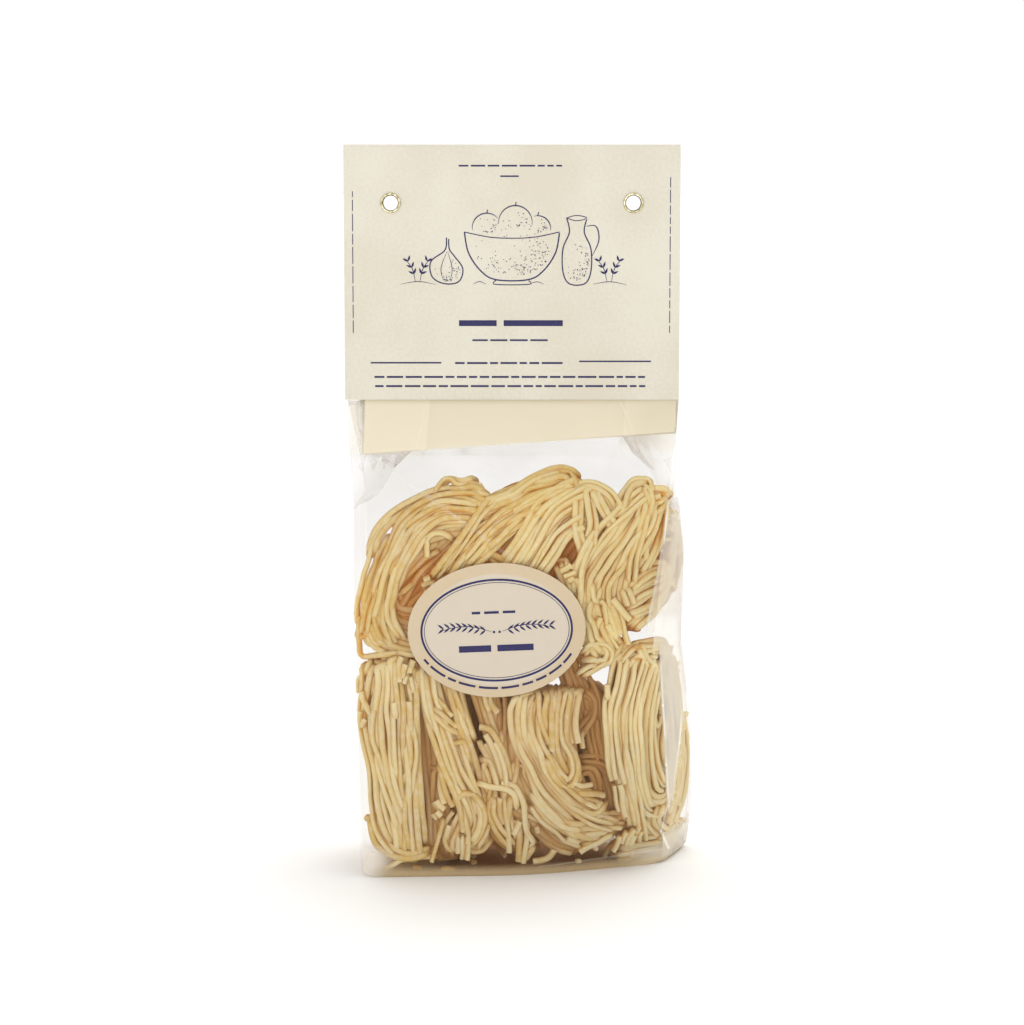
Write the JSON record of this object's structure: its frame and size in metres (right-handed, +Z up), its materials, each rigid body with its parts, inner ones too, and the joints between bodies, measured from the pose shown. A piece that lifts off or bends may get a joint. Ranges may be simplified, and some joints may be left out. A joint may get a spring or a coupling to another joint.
{
  "type": "bag of dry pasta nests",
  "caption": "Clear flat-bottomed film bag of dry ribbon pasta nests, closed by a folded card header with metal eyelets, an oval label on its front.",
  "frame": {"origin": "on the floor, at the middle of the base's flat face below the header card's middle", "axes": "+X to the right of the pack seen from its front, -Y out of its front, +Z up to the header card"},
  "size_m": [0.1267, 0.0589, 0.26],
  "materials": {
    "film": "clear glossy polypropylene film",
    "card": "matt uncoated cream card",
    "eyelet": "nickel-plated, satin",
    "sticker": "satin cream paper"
  },
  "bodies": {
    "root": {"bag": "film", "header_card": "card", "eyelet_left": "eyelet", "eyelet_right": "eyelet", "oval_sticker": "sticker"}
  },
  "joints": []
}
